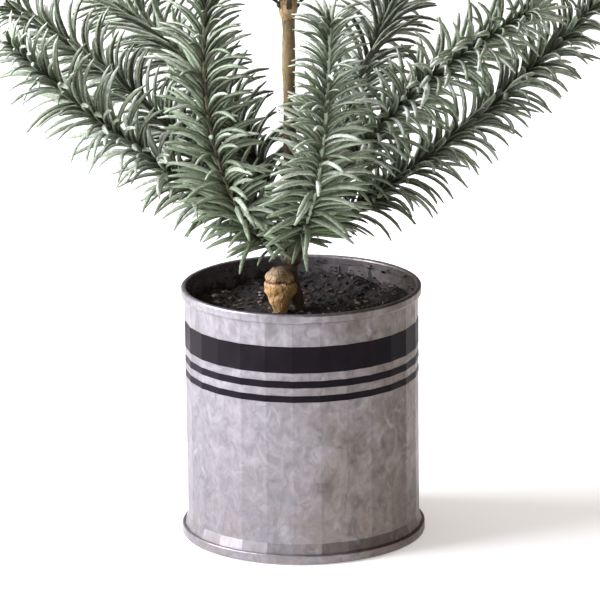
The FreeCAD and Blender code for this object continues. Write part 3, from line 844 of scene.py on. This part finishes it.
def clothe(name, stem_at, length, frost, belly, slims, chance):
    """All the needles of one shoot. stem_at gives the stem's place, heading, upper side and one flank
    at a distance from its root."""
    needles = []
    count = int((length - FIRST_NEEDLE) / NEEDLE_PITCH)
    for step in range(count + 1):
        distance = FIRST_NEEDLE + (length - FIRST_NEEDLE) * step / count
        share = step / count
        fullness = min(1.0, 0.60 + share * 3.0) * (1.0 - 0.36 * max(0.0, share - slims) / (1.0 - slims))
        rows = list(ODD_ROW if step % 2 else EVEN_ROW)
        if (step * belly) % 1.0 < belly:
            rows.append(UNDER_ROW[step % 3])
        for row in rows:
            turn = math.radians(row + chance.uniform(-ROW_SCATTER, ROW_SCATTER))
            scatter = chance.uniform(-PITCH_SCATTER, PITCH_SCATTER)
            point, heading, up, side = stem_at(distance + scatter)
            away = up * math.cos(turn) + side * math.sin(turn)
            lean = math.radians(chance.uniform(*NEEDLE_LEAN) - 10.0 * share ** 3)
            pointing = heading * math.cos(lean) + away * math.sin(lean)
            facing = heading + Vector((0, 0, chance.uniform(0.0, 0.3))) + side * chance.uniform(-0.2, 0.2)
            size = fullness * chance.uniform(0.84, 1.06) * (1.0 if abs(row) < 120 else 0.9)
            # painted shade: less frost on the needles near the shoot's root
            frost_and_painted_shade = min(1.0, max(0.0, frost + 1.2 * min(0.0, share - 0.4) + chance.gauss(0, 0.2)))
            kind = min(len(needle_kinds) - 1, max(0, int(chance.gauss(2.4, 1.1))))
            set_needle(needles, point + away * TAPE_RADIUS, pointing, facing, size, frost_and_painted_shade, kind)
    for ring in range(TIP_NEEDLES):
        turn = math.radians(ring * TIP_TURN + chance.uniform(-ROW_SCATTER, ROW_SCATTER))
        point, heading, up, side = stem_at(length - chance.uniform(0.0, 0.003))
        away = up * math.cos(turn) + side * math.sin(turn)
        lean = math.radians(chance.uniform(*TIP_LEAN))
        pointing = heading * math.cos(lean) + away * math.sin(lean)
        set_needle(needles, point, pointing, heading - away * 0.2,
                   chance.uniform(*TIP_LENGTHS), min(1.0, frost + 0.1), chance.randrange(3))
    shoot = joined(needles, name)
    shoot.data.materials.clear()
    shoot.data.materials.append(needle_finish)
    return shoot


joints = {joint["name"]: joint for joint in record["behaviour"]["joints"]}
for number, (label, (root_rise, tip_rise, length, frost, belly, slims)) in enumerate(STEM_BENDS.items()):
    joint = joints["bend_" + label]
    pivot = Vector(joint["pos_m"])
    hinge = Vector(joint["axis"])
    outward = Vector((-hinge.y, hinge.x, 0))
    start = math.radians(root_rise)
    curve = math.radians(tip_rise - root_rise) / length

    def stem_at(distance):
        slope = start + curve * distance
        out = (math.sin(slope) - math.sin(start)) / curve
        up = (math.cos(start) - math.cos(slope)) / curve
        heading = outward * math.cos(slope) + Vector((0, 0, math.sin(slope)))
        lift = Vector((0, 0, math.cos(slope))) - outward * math.sin(slope)
        return pivot + outward * out + Vector((0, 0, up)), heading, lift, hinge

    shoot = clothe("needles_of_branch_" + label, stem_at, length, frost, belly, slims,
                   random.Random(FIRST_BRANCH_SEED + number))
    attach(shoot, "branch_" + label)
    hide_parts("needles_" + label)
    finish_node("stem_" + label, frosted_tape if label == "1_3" else tape)

# ---------------------------------------------------------------------------
# Leader. The top shoot grows straight up from the highest knob, needles all
# round it.
# ---------------------------------------------------------------------------
LEADER_TWIST = 260.0                                # radians of turn in the needle rows per metre
LEADER_FROST = 0.5
LEADER_SEED = 77
leader_pivot = Vector(joints["bend_leader"]["pos_m"])
leader_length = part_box("leader_stem")[1][2] - leader_pivot.z


def leader_at(distance):
    spin = distance * LEADER_TWIST
    up = Vector((math.cos(spin), math.sin(spin), 0))
    side = Vector((-math.sin(spin), math.cos(spin), 0))
    return leader_pivot + Vector((0, 0, distance)), Vector((0, 0, 1)), up, side


leader = clothe("needles_of_leader", leader_at, leader_length, LEADER_FROST, 1.0, 0.8,
                random.Random(LEADER_SEED))
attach(leader, "leader")
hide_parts("leader_needles")
finish_node("leader_stem", tape)
for needle in needle_kinds:
    bpy.data.objects.remove(needle)

# ---------------------------------------------------------------------------
# Studio. A pale floor that glows a little, wide soft lights from the left, from
# above and weakly from the front, and a long lens looking down at 15 degrees.
# ---------------------------------------------------------------------------
FLOOR = (0.92, 0.92, 0.92, 1.0)
FLOOR_SIZE = 14.0
FLOOR_DROP = 0.0005                                 # keeps the floor out of the plane of the tin's foot
FLOOR_GLOW = 0.42
FLOOR_GLOW_FAR = 0.04                               # it glows less to the right, between these places
FLOOR_GLOW_FADE = (0.24, 0.70)
FLOOR_GLOW_TINT = (1.0, 0.965, 0.94, 1.0)
SKY_LEFT = (1.0, 1.0, 1.03, 1.0)
SKY_MIDDLE = (0.42, 0.39, 0.37, 1.0)
SKY_RIGHT = (0.085, 0.060, 0.045, 1.0)
SKY_STRENGTH = 0.62
CAMERA_RISE = 15.0
CAMERA_ROLL = -0.63
CAMERA_AWAY = 2.554
CAMERA_AIM = Vector((-0.00065, 0.0, 0.12242))
CAMERA_LENS = 298.5

deselect()
bpy.ops.mesh.primitive_plane_add(size=FLOOR_SIZE, location=(0, 0, -FLOOR_DROP))
floor = named("floor")
floor_finish, tree, shader = new_finish("pale_floor")
shader.inputs["Base Color"].default_value = FLOOR
shader.inputs["Roughness"].default_value = 0.9
shader.inputs["Emission Color"].default_value = FLOOR_GLOW_TINT
glow = span(tree, part_of(tree, object_place(tree), "X"), *FLOOR_GLOW_FADE, FLOOR_GLOW, FLOOR_GLOW_FAR)
tree.links.new(glow, shader.inputs["Emission Strength"])
floor.data.materials.append(floor_finish)


def soft_light(name, spot, aim, size, power, colour):
    """A square soft light."""
    bpy.ops.object.light_add(type="AREA", location=spot)
    light = bpy.context.active_object
    light.name = name
    light.data.shape = "SQUARE"
    light.data.size = size
    light.data.energy = power
    light.data.color = colour
    light.rotation_euler = (Vector(aim) - Vector(spot)).to_track_quat("-Z", "Y").to_euler()


soft_light("key_left", spot=(-1.6, -0.25, 1.0), aim=(0, 0, 0.15), size=1.3,
           power=86.0, colour=(0.97, 0.975, 1.06))
soft_light("overhead", spot=(-0.4, 0.3, 3.0), aim=(0, 0, 0.1), size=3.0,
           power=27.0, colour=(1.0, 0.93, 0.85))
soft_light("front_fill", spot=(0.2, -3.2, 1.2), aim=(0, 0, 0.2), size=1.5,
           power=12.0, colour=(1.0, 0.96, 0.91))

# the walls of the room are pale on the left and warm and dark on the right
world = bpy.data.worlds.new("studio")
bpy.context.scene.world = world
world.use_nodes = True
tree = world.node_tree
direction = tree.nodes.new("ShaderNodeTexCoord")
across = part_of(tree, direction.outputs["Generated"], "X")
sky = ramp(tree, span(tree, across, -1.0, 1.0), ((0.10, SKY_LEFT), (0.50, SKY_MIDDLE), (0.80, SKY_RIGHT)))
tree.links.new(sky, tree.nodes["Background"].inputs["Color"])
tree.nodes["Background"].inputs["Strength"].default_value = SKY_STRENGTH
bpy.context.scene.view_settings.view_transform = "Standard"

rise = math.radians(CAMERA_RISE)
camera_spot = CAMERA_AIM + Vector((0, -math.cos(rise), math.sin(rise))) * CAMERA_AWAY
bpy.ops.object.camera_add(location=camera_spot)
camera = bpy.context.active_object
camera.data.lens = CAMERA_LENS
looking = (CAMERA_AIM - camera_spot).to_track_quat("-Z", "Y").to_matrix()
camera.rotation_euler = (looking @ Matrix.Rotation(math.radians(CAMERA_ROLL), 3, "Z")).to_euler()
bpy.context.scene.camera = camera
